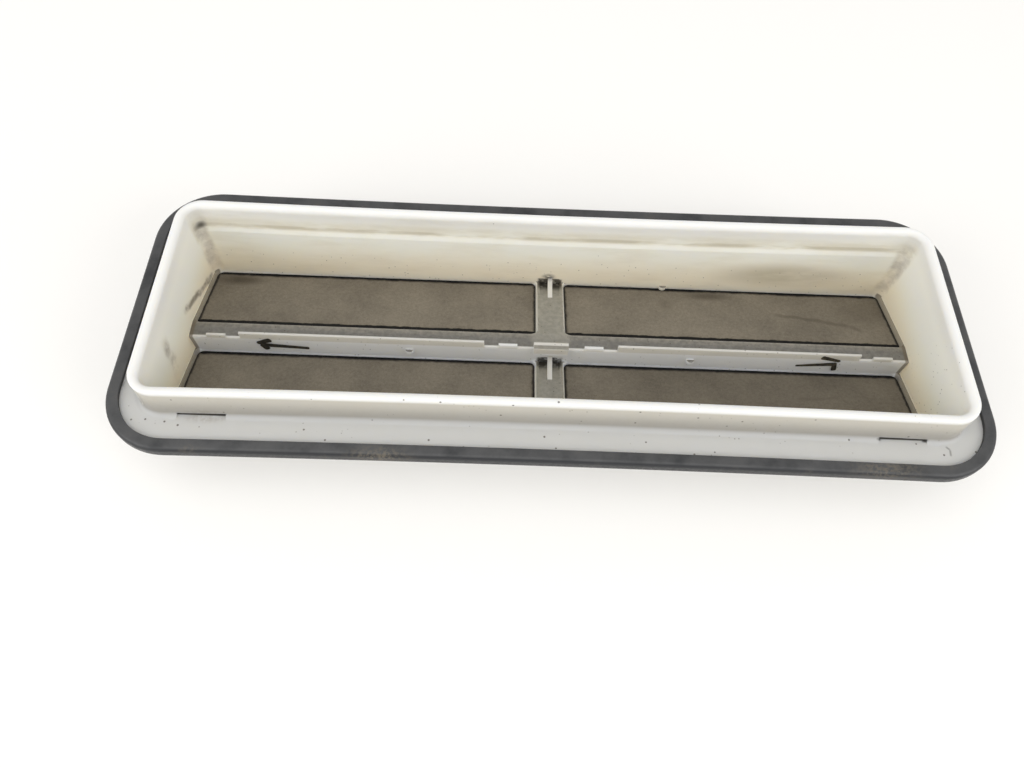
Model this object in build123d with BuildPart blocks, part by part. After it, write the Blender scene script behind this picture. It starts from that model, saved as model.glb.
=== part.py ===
from build123d import *
import os
from math import atan2, cos, degrees, radians, sin, tan

# Cabin air extractor vent, in millimetres. One moulding carries a collar, a flange and two sloping
# rows of windows. A rubber seal grips the flange's edge, and thin rubber flaps hang on hooks under
# the rows and shut the windows by themselves.
# Origin: middle of the flange's upper face. +X runs along the vent, +Z points out of the collar.

# Duct, measured inside at the deep edge of the seats
duct_length = 243.6
duct_width = 65.2
duct_corner_radius = 3.0
duct_waist = 0.3
duct_flare = 0.3

# Collar above the flange
collar_height = 12.0
collar_wall = 3.0
collar_corner_radius = 8.7
collar_draft = 0.5
collar_waist = 1.0
collar_root_fillet = 2.0
rim_corner_radius = 4.5
rim_inner_round = 1.8
rim_outer_round = 0.85
shoulder_height = 2.6
shoulder_drop = 2.4
shoulder_step = 0.6

# Flange
flange_end_reach = 7.65
flange_side_reach = 10.45
flange_corner_radius = 18.5
flange_thickness = 2.0
flange_waist = 1.0

# Snap recesses at the collar's root, which catch the edge of the panel
snap_length = 14.6
snap_middle = 105.0
snap_height = 1.1
snap_depth = 1.0
snap_reach = 2.4

# Edge seal
seal_web = 2.0
seal_lip_reach = 1.8
seal_upper_lip = 1.3
seal_lower_lip = 1.2
seal_fit = 0.05
seal_round = 1.4

# Seats and skirt below the flange
seat_depth = 22.3
seat_slope = 14.5
seat_ledge = 2.2
skirt_wall = 1.5
skirt_drop = 5.7

# Windows, bar and ribs of the grid
grid_height = 1.6
window_taper = 18.0
window_corner_radius = 2.0
window_end_margin = 0.8
window_deep_margin = 0.4
rib_width = 10.2
strip_width = 3.6
step_wall = 2.4
upstand_height = 2.9
upstand_thickness = 0.8
notch_width = 16.0
centre_block_width = 11.6
centre_block_reach = 1.7
centre_block_depth = 2.8
centre_block_height = 4.2
fin_thickness = 1.6
fin_length = 10.0
pip_radius = 1.4
pip_height = 1.7
rear_pip = 41.5
front_pip = 47.9
front_pip_lift = 4.2
pocket_width = 2.8
pocket_length = 8.6
pocket_depth = 1.0

# Flaps and the hooks that carry them
flap_thickness = 1.3
flap_overlap = 1.6
flap_gap = 0.2
flap_opening = 40.0
bead_radius = 1.3
bead_clearance = 0.08
bead_setback = 4.0
hook_wall = 1.2
hook_width = 6.3
hook_inset = 8.6
hook_margin = 8.0
hook_tip_height = 1.4
hook_tip_thickness = 0.9

# Cutters run past what they cut by this much, and joined bars are sunk this far into the walls
overcut = 2.0
bury = 1.2

# Values worked out from the sizes above
slope_rise = tan(radians(seat_slope))
row_run = (duct_width - step_wall) / 2
rear_start = step_wall / 2
front_start = -duct_width / 2
row_starts = {"rear": rear_start, "front": front_start}
row_pips = {"rear": [rear_pip], "front": [-front_pip, front_pip]}
row_pip_lifts = {"rear": 0, "front": front_pip_lift}
grid_rise = grid_height / cos(radians(seat_slope))
collar_length = duct_length + 2 * (collar_wall + collar_draft)
collar_width = duct_width + 2 * (duct_flare + shoulder_step + collar_wall + collar_draft)
collar_taper = degrees(atan2(collar_draft, collar_height))
flange_length = collar_length + 2 * flange_end_reach
flange_width = collar_width + 2 * flange_side_reach
room_length = duct_length + 2 * seat_ledge
room_width = duct_width + 2 * seat_ledge
room_radius = duct_corner_radius + seat_ledge
skirt_depth = seat_depth + skirt_drop
hook_inner_radius = bead_radius + bead_clearance
hook_outer_radius = hook_inner_radius + hook_wall
hinge_offset = hook_inner_radius + hook_wall / 2
mouth_reach = 2 * hook_outer_radius
rib_side = rib_width / 2
window_end = duct_length / 2 - window_end_margin
hook_middles = (rib_side + hook_inset + window_end_margin, window_end - hook_inset)


def seat_z(start, y):
    """Height of the seat plane at y, for the row whose hinge end is at start."""
    return -seat_depth + (start + row_run - y) * slope_rise


def hinge_point(start):
    """The (y, z) of the flap's hinge line, for the row whose hinge end is at start."""
    y = start + hinge_offset
    return y, seat_z(start, y) - (flap_gap + bead_radius) / cos(radians(seat_slope))


def waisted_outline(plane, length, width, corner_radius, waist):
    """Rounded rectangle whose long sides bow in by waist at their middles."""
    end = length / 2
    side = width / 2
    with BuildSketch(plane) as outline:
        with BuildLine():
            Line((-end, side), (-end, -side))
            ThreePointArc((-end, -side), (0, waist - side), (end, -side))
            Line((end, -side), (end, side))
            ThreePointArc((end, side), (0, side - waist), (-end, side))
        make_face()
        fillet(outline.vertices(), corner_radius)
    return outline.sketch


def flange_outline(height, grow):
    """The flange's outline at a height, made larger all round by grow."""
    return waisted_outline(
        Plane.XY.offset(height),
        flange_length + 2 * grow,
        flange_width + 2 * grow,
        flange_corner_radius + grow,
        flange_waist,
    )


def duct_outline(height, grow, corner_radius, waist):
    """The duct's inner outline at a height, made wider by grow on both long sides."""
    return waisted_outline(
        Plane.XY.offset(height),
        duct_length,
        duct_width + 2 * grow,
        corner_radius,
        waist,
    )


def row_room(start):
    """The room below one row's seats, from the seat plane down through the skirt's mouth."""
    end = start + row_run + seat_ledge
    floor = -skirt_depth - overcut
    with BuildPart() as room:
        with BuildSketch():
            RectangleRounded(room_length, room_width, room_radius)
        extrude(amount=floor)
        with BuildSketch(Plane.YZ):
            with BuildLine():
                Polyline(
                    (start, seat_z(start, start)),
                    (end, seat_z(start, end)),
                    (end, floor),
                    (start, floor),
                    close=True,
                )
            make_face()
        extrude(amount=room_length, both=True, mode=Mode.INTERSECT)
    return room.part


def row_grid(start, pips, pip_lift):
    """One row of the grid: its level strip, its rib and the sloping margin round two tapered windows.

    The row's deep wall carries a half-round pip at each place in pips, lifted above the seats by pip_lift.
    """
    deep = start + row_run
    strip_edge = start + strip_width
    strip_top = seat_z(start, strip_edge) + grid_rise
    seat_plane = Plane(
        origin=(0, deep, seat_z(start, deep)),
        x_dir=(1, 0, 0),
        z_dir=(0, sin(radians(seat_slope)), cos(radians(seat_slope))),
    )
    window_length = (row_run - strip_width) / cos(radians(seat_slope)) - window_deep_margin
    window_span = window_end - rib_side
    with BuildPart() as row:
        with BuildSketch(Plane.YZ):
            with BuildLine():
                Polyline(
                    (start - bury, seat_z(start, start - bury)),
                    (start - bury, strip_top),
                    (strip_edge, strip_top),
                    (deep + bury, seat_z(start, deep + bury) + grid_rise),
                    (deep + bury, seat_z(start, deep + bury)),
                    close=True,
                )
            make_face()
        extrude(amount=duct_length / 2 + bury, both=True)
        with BuildSketch(seat_plane):
            with Locations((0, -window_deep_margin - window_length / 2)):
                with GridLocations(rib_width + window_span, 0, 2, 1):
                    RectangleRounded(window_span, window_length, window_corner_radius)
        extrude(amount=grid_height + overcut, taper=-window_taper, mode=Mode.SUBTRACT)
        # Two scoops in the rib sink towards the deep wall, and the fin stands between them
        with BuildSketch(Plane.YZ):
            with BuildLine():
                Polyline(
                    (deep - pocket_length, seat_z(start, deep - pocket_length) + grid_rise),
                    (deep, seat_z(start, deep) + grid_rise - pocket_depth),
                    (deep, seat_z(start, deep - pocket_length) + grid_rise),
                    close=True,
                )
            make_face()
        extrude(amount=fin_thickness / 2 + pocket_width, both=True, mode=Mode.SUBTRACT)
        with BuildSketch(Plane.YZ):
            with BuildLine():
                Polyline(
                    (deep - fin_length, seat_z(start, deep)),
                    (deep - fin_length, seat_z(start, deep - fin_length) + grid_rise),
                    (deep + bury, seat_z(start, deep - fin_length) + grid_rise),
                    (deep + bury, seat_z(start, deep)),
                    close=True,
                )
            make_face()
        extrude(amount=fin_thickness / 2, both=True)
        with BuildSketch(Plane.XY.offset(seat_z(start, deep) + pip_lift)):
            with Locations([(pip, deep) for pip in pips]):
                Circle(pip_radius)
        extrude(amount=pip_height)
    return row.part


# Grid: two rows, and between them the step wall with its notched upstand
strip_top = seat_z(rear_start, rear_start + strip_width) + grid_rise
upstand_top = strip_top + upstand_height
upstand_length = hook_middles[1] - hook_middles[0] - notch_width
front_deep = front_start + row_run
with BuildPart() as grid:
    for row_name, row_start in row_starts.items():
        add(row_grid(row_start, row_pips[row_name], row_pip_lifts[row_name]))
    with BuildSketch(Plane.YZ):
        with BuildLine():
            Polyline(
                (front_deep, seat_z(front_start, front_deep)),
                (front_deep, strip_top),
                (rear_start, strip_top),
                (rear_start, seat_z(front_start, rear_start)),
                close=True,
            )
        make_face()
    extrude(amount=duct_length / 2 + bury, both=True)
    # A thin upstand runs along the wall between the hooks of each flap, and the hooks' tips stand beside it
    with BuildSketch(Plane.XY.offset(strip_top - bury)):
        with Locations((0, front_deep + upstand_thickness / 2)):
            with GridLocations(sum(hook_middles), 0, 2, 1):
                Rectangle(upstand_length, upstand_thickness)
    extrude(amount=bury + upstand_height)
    with BuildSketch(Plane.XY.offset(strip_top - bury)):
        for hook_middle in hook_middles:
            with Locations((0, front_deep + hook_tip_thickness / 2)):
                with GridLocations(2 * hook_middle, 0, 2, 1):
                    Rectangle(hook_width, hook_tip_thickness)
    extrude(amount=bury + hook_tip_height)
    with BuildSketch(Plane.XY.offset(upstand_top)):
        with Locations((0, front_deep - centre_block_reach + centre_block_depth / 2)):
            Rectangle(centre_block_width, centre_block_depth)
    extrude(amount=-centre_block_height)
    # Everything stays inside the walls that carry it
    with BuildSketch(Plane.XY.offset(collar_height)):
        RectangleRounded(duct_length + 2 * bury, duct_width + 2 * bury, duct_corner_radius + bury)
    extrude(amount=-collar_height - skirt_depth, mode=Mode.INTERSECT)

# Frame: flange, collar and skirt round the duct, then the grid and the hooks
with BuildPart() as grille_frame:
    extrude(flange_outline(0, 0), amount=-flange_thickness)
    collar_outline = waisted_outline(
        Plane.XY,
        collar_length,
        collar_width,
        collar_corner_radius,
        collar_waist,
    )
    extrude(collar_outline, amount=collar_height, taper=collar_taper)
    flange_face = grille_frame.faces().filter_by(Plane.XY).sort_by(Axis.Z)[-2]
    fillet(flange_face.inner_wires()[0].edges(), collar_root_fillet)
    fillet(grille_frame.faces().sort_by(Axis.Z)[-1].edges(), rim_outer_round)
    with BuildSketch():
        RectangleRounded(
            room_length + 2 * skirt_wall,
            room_width + 2 * skirt_wall,
            room_radius + skirt_wall,
        )
    extrude(amount=-skirt_depth)
    # The duct steps out over a soft shoulder on its long sides
    upper_duct = duct_outline(
        shoulder_height,
        duct_flare + shoulder_step,
        rim_corner_radius,
        collar_waist,
    )
    loft(
        [
            duct_outline(-skirt_depth, 0, duct_corner_radius, duct_waist),
            duct_outline(shoulder_height - shoulder_drop, duct_flare, duct_corner_radius, collar_waist),
            upper_duct,
        ],
        ruled=True,
        mode=Mode.SUBTRACT,
    )
    extrude(upper_duct, amount=collar_height - shoulder_height, mode=Mode.SUBTRACT)
    fillet(grille_frame.faces().sort_by(Axis.Z)[-1].inner_wires()[0].edges(), rim_inner_round)
    add(grid.part)
    for row_start in row_starts.values():
        add(row_room(row_start), mode=Mode.SUBTRACT)
    with BuildSketch(Plane.XY.offset(seat_z(rear_start, rear_start + row_run + seat_ledge))):
        RectangleRounded(room_length, room_width, room_radius)
    extrude(amount=-skirt_depth, mode=Mode.SUBTRACT)
    # Hooks: open rings under the strips, each with a mouth that the flap swings in
    for row_start in row_starts.values():
        hinge_y, hinge_z = hinge_point(row_start)
        mouth = [(hinge_y, hinge_z)]
        for mouth_angle in (-seat_slope - flap_opening - hook_margin, 0, 90 - seat_slope):
            mouth_y = hinge_y + mouth_reach * cos(radians(mouth_angle))
            mouth_z = hinge_z + mouth_reach * sin(radians(mouth_angle))
            mouth.append((mouth_y, mouth_z))
        for hook_middle in hook_middles:
            for side in (-1, 1):
                with BuildSketch(Plane.YZ.offset(side * hook_middle - hook_width / 2)):
                    with Locations((hinge_y, hinge_z)):
                        Circle(hook_outer_radius)
                        Circle(hook_inner_radius, mode=Mode.SUBTRACT)
                    with BuildLine():
                        Polyline(*mouth, close=True)
                    make_face(mode=Mode.SUBTRACT)
                extrude(amount=hook_width)
    # Snap recesses, cut into the collar's root on both long sides
    with BuildSketch():
        with GridLocations(2 * snap_middle, collar_width + snap_reach - snap_depth, 2, 2):
            Rectangle(snap_length, snap_reach + snap_depth)
    extrude(amount=snap_height, mode=Mode.SUBTRACT)

# Seal: a U section pressed over the flange's edge
seal_top = seal_upper_lip + seal_fit
seal_height = seal_top + flange_thickness + seal_fit + seal_lower_lip
with BuildPart() as flange_seal:
    extrude(flange_outline(seal_top, seal_web + seal_fit), amount=-seal_height)
    fillet(flange_seal.edges().group_by(Axis.Z)[-1], seal_round)
    fillet(flange_seal.edges().group_by(Axis.Z)[0], seal_round)
    extrude(flange_outline(seal_top, -seal_lip_reach), amount=-seal_height, mode=Mode.SUBTRACT)
    extrude(
        flange_outline(seal_fit, seal_fit),
        amount=-flange_thickness - 2 * seal_fit,
        mode=Mode.SUBTRACT,
    )


def rubber_flap(start, side):
    """One flap at rest: a flat sheet just below its seats, with a round bead along its hinge line."""
    hinge_y, hinge_z = hinge_point(start)
    free_y = start + row_run + flap_overlap
    top_drop = flap_gap / cos(radians(seat_slope))
    under_drop = (flap_gap + flap_thickness) / cos(radians(seat_slope))
    inner_end = rib_side - flap_overlap
    outer_end = duct_length / 2 + flap_overlap
    bead_length = outer_end - inner_end - 2 * bead_setback
    with BuildPart() as flap:
        with BuildSketch():
            RectangleRounded(
                2 * outer_end,
                duct_width + 2 * flap_overlap,
                duct_corner_radius + flap_overlap,
            )
            with Locations((side * (inner_end + outer_end) / 2, 0)):
                Rectangle(outer_end - inner_end, duct_width + 2 * flap_overlap, mode=Mode.INTERSECT)
        extrude(amount=-skirt_depth)
        with BuildSketch(Plane.YZ):
            with BuildLine():
                Polyline(
                    (hinge_y, seat_z(start, hinge_y) - top_drop),
                    (free_y, seat_z(start, free_y) - top_drop),
                    (free_y, seat_z(start, free_y) - under_drop),
                    (hinge_y, seat_z(start, hinge_y) - under_drop),
                    close=True,
                )
            make_face()
        extrude(amount=duct_length, both=True, mode=Mode.INTERSECT)
        bead_from = side * (inner_end + outer_end) / 2 - bead_length / 2
        with BuildSketch(Plane.YZ.offset(bead_from)):
            with Locations((hinge_y, hinge_z)):
                Circle(bead_radius)
        extrude(amount=bead_length)
    return flap.part


os.makedirs("parts", exist_ok=True)
grille_frame.part.label = "grille_frame"
export_step(grille_frame.part, "parts/grille_frame.step")
flange_seal.part.label = "flange_seal"
export_step(flange_seal.part, "parts/flange_seal.step")
for row_name, row_start in row_starts.items():
    for side_name, side in (("left", -1), ("right", 1)):
        flap_part = rubber_flap(row_start, side)
        flap_part.label = f"flap_{row_name}_{side_name}"
        export_step(flap_part, f"parts/{flap_part.label}.step")
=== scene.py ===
"""Dresses a cabin air extractor vent: aged white plastic, dusty rubber flaps and a dark edge seal."""

import logging
import math
from abc import ABC, abstractmethod
from collections.abc import Callable
from dataclasses import dataclass
from enum import Enum

import bpy
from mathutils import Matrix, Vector


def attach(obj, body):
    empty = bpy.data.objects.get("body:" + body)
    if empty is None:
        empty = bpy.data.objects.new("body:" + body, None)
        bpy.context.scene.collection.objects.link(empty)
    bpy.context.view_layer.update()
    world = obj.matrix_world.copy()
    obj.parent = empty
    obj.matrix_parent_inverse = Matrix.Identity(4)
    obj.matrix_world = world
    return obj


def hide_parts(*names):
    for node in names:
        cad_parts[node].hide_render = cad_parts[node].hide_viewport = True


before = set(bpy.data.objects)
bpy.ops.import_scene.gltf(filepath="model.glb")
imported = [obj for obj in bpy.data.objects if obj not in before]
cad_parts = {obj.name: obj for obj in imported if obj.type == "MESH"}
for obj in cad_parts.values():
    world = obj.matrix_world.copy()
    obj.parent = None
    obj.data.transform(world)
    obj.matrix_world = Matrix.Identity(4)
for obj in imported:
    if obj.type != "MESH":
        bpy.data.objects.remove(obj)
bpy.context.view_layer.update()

LOG = logging.getLogger("vent")
MM = 0.001
PICTURE_WIDTH = 1024

Colour = tuple[float, float, float, float]
Point = tuple[float, float, float]
Flat = tuple[float, float]
Socket = bpy.types.NodeSocket
Value = float | Socket

# Where a mask starts and where it is full
Fade = tuple[float, float]
# The same, with the mask's top
Ramp = tuple[float, float, float]
# A mask's middle, half and fade
Band = tuple[float, float, float]
# A noise pattern's waves a millimetre, detail and roughness
Grain = tuple[float, float, float]
# Millimetres from one speck to the next, the radius as a share of that, and the share of specks that show
Dots = tuple[float, float, float]

ORIGIN: Point = (0.0, 0.0, 0.0)
# How steeply the seats and the shut flaps drop to the rear, in degrees, and the way that their tops face
SEAT_SLOPE = 14.5
FLAP_FACING: Point = (0.0, math.sin(math.radians(SEAT_SLOPE)), math.cos(math.radians(SEAT_SLOPE)))
# Limits that every pattern passes, for a patch that shows whole
ALWAYS: Ramp = (-1.0, -0.5, 1.0)
# Vertices nearer than this many millimetres are one, and edges bent by more than this in radians are sharp
DOUBLES = 0.002
SHARP_ANGLE = 0.9
# A noise pattern's middle value, and the detail of the one that makes lines stray
NOISE_MIDDLE = 0.5
STRAY_DETAIL = 3.0
# The share of a speck that is full, and how many millimetres off its surface a line of dirt fades
SPECK_CORE = 0.5
SKIN: Fade = (2.0, 1.5)
# Where the hinge lines of the two rows lie along Y, in millimetres
REAR_HINGE = 3.18
FRONT_HINGE = -30.62


class Body(Enum):
    """The bodies that the pieces ride on, besides one for each flap."""

    FRAME = "frame"


class Slot(Enum):
    """The material slots of the record."""

    PLASTIC = "white_plastic"
    SEAL = "seal_rubber"
    FLAP = "flap_rubber"


class Row(Enum):
    """The two rows of windows."""

    REAR = "rear"
    FRONT = "front"


class Side(Enum):
    """The two ends of the vent, as the photo is seen."""

    LEFT = "left"
    RIGHT = "right"


class Part(Enum):
    """What a selection picks from a mesh."""

    VERTEX = "VERT"
    EDGE = "EDGE"
    FACE = "FACE"


def srgb(red: int, green: int, blue: int) -> Colour:
    """Turns a colour as it looks on a screen into a shader's linear colour.

    Args:
        red: Red from 0 to 255.
        green: Green from 0 to 255.
        blue: Blue from 0 to 255.

    Returns:
        The linear colour with full opacity.
    """
    linear = []
    for channel in (red, green, blue):
        share = channel / 255
        linear.append(share / 12.92 if share <= 0.04045 else ((share + 0.055) / 1.055) ** 2.4)
    return (linear[0], linear[1], linear[2], 1.0)


class Shaper:
    """Shapes one mesh with edit-mode operators. All its sizes and places are in millimetres."""

    def __init__(self, name: str, length: float, width: float, middle: Point = ORIGIN) -> None:
        """Starts the piece as a flat rectangle that lies level.

        Args:
            name: The piece's name.
            length: Its size along X.
            width: Its size along Y.
            middle: Where its middle lies.
        """
        bpy.ops.object.select_all(action="DESELECT")
        bpy.ops.mesh.primitive_plane_add(size=MM, location=ORIGIN)
        self.piece = bpy.context.object
        self.piece.name = name
        bpy.ops.object.mode_set(mode="EDIT")
        bpy.ops.mesh.select_all(action="SELECT")
        bpy.ops.transform.resize(value=(length, width, 1.0), center_override=ORIGIN)
        self.shift(middle)
        bpy.ops.object.mode_set(mode="OBJECT")

    @classmethod
    def holding(cls, piece: bpy.types.Object) -> "Shaper":
        """Goes on with a piece made another way.

        Args:
            piece: The piece.

        Returns:
            Its shaper.
        """
        shaper = cls.__new__(cls)
        shaper.piece = piece
        return shaper

    def middle(self, part: Part, item: object) -> Vector:
        """Finds the middle of a vertex, edge or face.

        Args:
            part: Which of the three the item is.
            item: The vertex, edge or face.

        Returns:
            The middle in millimetres.
        """
        points = self.piece.data.vertices
        if part is Part.VERTEX:
            return item.co / MM
        return sum((points[index].co for index in item.vertices), Vector()) / len(item.vertices) / MM

    def pick(self, part: Part, test: Callable[[Vector], bool]) -> None:
        """Enters edit mode with the parts selected whose middle passes a test.

        Args:
            part: Whether vertices, edges or faces are picked.
            test: Says of a middle in millimetres whether its part is picked.
        """
        bpy.ops.object.mode_set(mode="EDIT")
        bpy.ops.mesh.select_mode(type=part.value)
        bpy.ops.mesh.select_all(action="DESELECT")
        bpy.ops.object.mode_set(mode="OBJECT")
        mesh = self.piece.data
        items = {Part.VERTEX: mesh.vertices, Part.EDGE: mesh.edges, Part.FACE: mesh.polygons}[part]
        for item in items:
            item.select = test(self.middle(part, item))
        bpy.ops.object.mode_set(mode="EDIT")

    def pick_all(self) -> None:
        """Enters edit mode with everything selected."""
        bpy.ops.object.mode_set(mode="EDIT")
        bpy.ops.mesh.select_mode(type=Part.VERTEX.value)
        bpy.ops.mesh.select_all(action="SELECT")

    def shift(self, way: Point) -> None:
        """Moves what is selected."""
        bpy.ops.transform.translate(value=tuple(step * MM for step in way))

    def tug(self, way: Point, reach: float) -> None:
        """Moves what is selected and draws its neighbours along, less and less.

        Args:
            way: The move.
            reach: How far away neighbours still move.
        """
        bpy.ops.transform.translate(
            value=tuple(step * MM for step in way),
            use_proportional_edit=True,
            use_proportional_connected=True,
            proportional_edit_falloff="SMOOTH",
            proportional_size=reach * MM,
        )

    def round_corners(self, radius: float, segments: int, test: Callable[[Vector], bool]) -> None:
        """Rounds the corners of a flat outline that pass a test.

        Args:
            radius: The corners' radius.
            segments: How many edges a corner gets.
            test: Says of a corner's place whether it is rounded.
        """
        self.pick(Part.VERTEX, test)
        bpy.ops.mesh.bevel(offset=radius * MM, segments=segments, affect="VERTICES")
        bpy.ops.object.mode_set(mode="OBJECT")

    def cut(self, place: Point, normal: Point) -> None:
        """Cuts the whole mesh along a plane and keeps both sides.

        Args:
            place: A point on the plane.
            normal: The way that the plane faces.
        """
        self.pick_all()
        bpy.ops.mesh.bisect(plane_co=tuple(step * MM for step in place), plane_no=normal)
        bpy.ops.object.mode_set(mode="OBJECT")

    def turn(self, degrees: float, axis: str) -> None:
        """Turns the whole mesh about an axis through the origin by the right-hand rule.

        Args:
            degrees: How far it turns.
            axis: X, Y or Z.
        """
        self.pick_all()
        bpy.ops.transform.rotate(value=-math.radians(degrees), orient_axis=axis, center_override=ORIGIN)
        bpy.ops.object.mode_set(mode="OBJECT")

    def modify(self, kind: str, **settings: object) -> None:
        """Adds a modifier and applies it.

        Args:
            kind: The modifier's type name.
            **settings: The modifier's own properties.
        """
        bpy.ops.object.mode_set(mode="OBJECT")
        bpy.ops.object.select_all(action="DESELECT")
        self.piece.select_set(True)
        bpy.context.view_layer.objects.active = self.piece
        added = self.piece.modifiers.new(kind.lower(), kind)
        for name, value in settings.items():
            setattr(added, name, value)
        bpy.ops.object.modifier_apply(modifier=added.name)

    def absorb(self, other: "Shaper") -> None:
        """Joins another piece's solid with this one and drops the other piece."""
        self.modify("BOOLEAN", operation="UNION", solver="EXACT", object=other.piece)
        bpy.data.objects.remove(other.piece, do_unlink=True)

    def close(self, smooth_angle: float) -> bpy.types.Object:
        """Merges doubles, turns the faces outwards and smooths the shading.

        Args:
            smooth_angle: Edges that bend more than this many degrees stay sharp.

        Returns:
            The finished piece.
        """
        self.pick_all()
        bpy.ops.mesh.remove_doubles(threshold=DOUBLES * MM)
        bpy.ops.mesh.normals_make_consistent(inside=False)
        bpy.ops.object.mode_set(mode="OBJECT")
        bpy.ops.object.select_all(action="DESELECT")
        self.piece.select_set(True)
        bpy.context.view_layer.objects.active = self.piece
        bpy.ops.object.shade_smooth_by_angle(angle=math.radians(smooth_angle))
        return self.piece


class NodeBench:
    """Places and wires the nodes of one material, with object coordinates in millimetres."""

    def __init__(self, name: str) -> None:
        """Starts an empty material.

        Args:
            name: The material's name.
        """
        self.material = bpy.data.materials.new(name)
        self.material.use_nodes = True
        self.tree = self.material.node_tree
        self.tree.nodes.clear()
        self.output = self.tree.nodes.new("ShaderNodeOutputMaterial")
        coordinates = self.tree.nodes.new("ShaderNodeTexCoord")
        scaled = self.node(
            "ShaderNodeVectorMath", {0: coordinates.outputs["Object"], "Scale": 1 / MM}, operation="SCALE"
        )
        self.place = scaled.outputs[0]
        self.x, self.y, self.z = self.node("ShaderNodeSeparateXYZ", {0: self.place}).outputs
        facing = self.node("ShaderNodeSeparateXYZ", {0: coordinates.outputs["Normal"]})
        self.facing_z = facing.outputs[2]

    def feed(self, socket: Socket, value: object) -> None:
        """Links a socket to another, or sets it to a constant.

        Args:
            socket: The socket that is fed.
            value: The other socket or the constant.
        """
        if isinstance(value, bpy.types.NodeSocket):
            self.tree.links.new(value, socket)
        else:
            socket.default_value = value

    def node(self, kind: str, inputs: dict, **settings: object) -> bpy.types.Node:
        """Adds one node.

        Args:
            kind: The node's type name.
            inputs: Values or sockets, by input name or number.
            **settings: The node's own properties.

        Returns:
            The new node.
        """
        made = self.tree.nodes.new(kind)
        for key, value in settings.items():
            setattr(made, key, value)
        for key, value in inputs.items():
            self.feed(made.inputs[key], value)
        return made

    def math(self, operation: str, first: Value, second: Value = 0.0) -> Socket:
        """Returns the result of one arithmetic step."""
        return self.node("ShaderNodeMath", {0: first, 1: second}, operation=operation).outputs[0]

    def size(self, value: Value) -> Socket:
        """Returns a value without its sign."""
        return self.math("ABSOLUTE", value)

    def rest(self, share: Value) -> Socket:
        """Returns what a mask leaves free."""
        return self.math("SUBTRACT", 1.0, share)

    def times(self, *shares: Value) -> Socket:
        """Multiplies several masks.

        Args:
            *shares: The masks.

        Returns:
            Their product.
        """
        product = shares[0]
        for share in shares[1:]:
            product = self.math("MULTIPLY", product, share)
        return product

    def most(self, *shares: Value) -> Socket:
        """Compares several masks.

        Args:
            *shares: The masks.

        Returns:
            The largest of them at each place.
        """
        top = shares[0]
        for share in shares[1:]:
            top = self.math("MAXIMUM", top, share)
        return top

    def rise(self, value: Value, low: float, high: float, top: float = 1.0) -> Socket:
        """Maps a value to a smooth mask.

        Args:
            value: What is mapped.
            low: Where the mask is 0.
            high: Where the mask reaches its top. It may lie below low.
            top: The mask's highest value.

        Returns:
            The mask.
        """
        ends = {"Value": value, "From Min": low, "From Max": high, "To Min": 0.0, "To Max": top}
        if low > high:
            ends.update({"From Min": high, "From Max": low, "To Min": top, "To Max": 0.0})
        return self.node("ShaderNodeMapRange", ends, interpolation_type="SMOOTHSTEP").outputs[0]

    def band(self, value: Value, middle: float, half: float, soft: float) -> Socket:
        """Returns a mask that is 1 within half of the middle and fades over soft."""
        return self.rise(self.size(self.math("SUBTRACT", value, middle)), half + soft, half)

    def stretched(self, stretch: Point, shift: Point = ORIGIN) -> Socket:
        """Returns the place with its axes scaled and shifted, for patterns that run one way."""
        return self.node("ShaderNodeMapping", {0: self.place, "Scale": stretch, "Location": shift}).outputs[0]

    def noise(
        self, scale: float, detail: float = 2.0, rough: float = 0.5, place: Socket | None = None
    ) -> Socket:
        """Returns a noise pattern.

        Args:
            scale: Waves per millimetre.
            detail: How many finer layers are added.
            rough: How strong the finer layers are.
            place: Where the pattern is read, the plain place if left out.

        Returns:
            The pattern, mostly from 0.3 to 0.7.
        """
        inputs = {"Vector": place or self.place, "Scale": scale, "Detail": detail, "Roughness": rough}
        return self.node("ShaderNodeTexNoise", inputs).outputs[0]

    def stray(self, scale: float, reach: float) -> Socket:
        """Returns how far a line strays to either side, with scale waves a millimetre."""
        return self.times(self.math("SUBTRACT", self.noise(scale, STRAY_DETAIL), NOISE_MIDDLE), reach)

    def specks(self, cell: float, radius: float, share: float) -> Socket:
        """Returns a mask of scattered dots.

        Args:
            cell: Millimetres from one possible dot to the next.
            radius: The largest dot's radius as a share of the cell.
            share: How many of the cells have a dot.

        Returns:
            The mask.
        """
        cells = self.node("ShaderNodeTexVoronoi", {"Vector": self.place, "Scale": 1 / cell})
        lot = self.node("ShaderNodeSeparateColor", {0: cells.outputs["Color"]})
        dot = self.rise(cells.outputs["Distance"], radius, radius * SPECK_CORE)
        return self.times(dot, self.math("LESS_THAN", lot.outputs[0], share))

    def spot(self, centre: Point, reach: Point, soft: float = 0.7) -> Socket:
        """Returns a mask that is 1 at a point and fades to 0 at its reach.

        Args:
            centre: The spot's middle in millimetres.
            reach: Its half sizes along the axes in millimetres.
            soft: The share of the reach over which it fades.

        Returns:
            The mask.
        """
        scale = tuple(1 / size for size in reach)
        shift = tuple(-middle / size for middle, size in zip(centre, reach))
        away = self.node("ShaderNodeVectorMath", {0: self.stretched(scale, shift)}, operation="LENGTH")
        return self.rise(away.outputs["Value"], 1.0, 1.0 - soft)

    def along(self, start: Vector, way: Vector) -> Socket:
        """Measures how far a place lies from a start along a way.

        Args:
            start: Where the measure starts.
            way: Which way it runs.

        Returns:
            The distance in millimetres, negative behind the start.
        """
        unit = way.normalized()
        reached = self.node("ShaderNodeVectorMath", {0: self.place, 1: tuple(unit)}, operation="DOT_PRODUCT")
        return self.math("SUBTRACT", reached.outputs["Value"], start.dot(unit))

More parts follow.
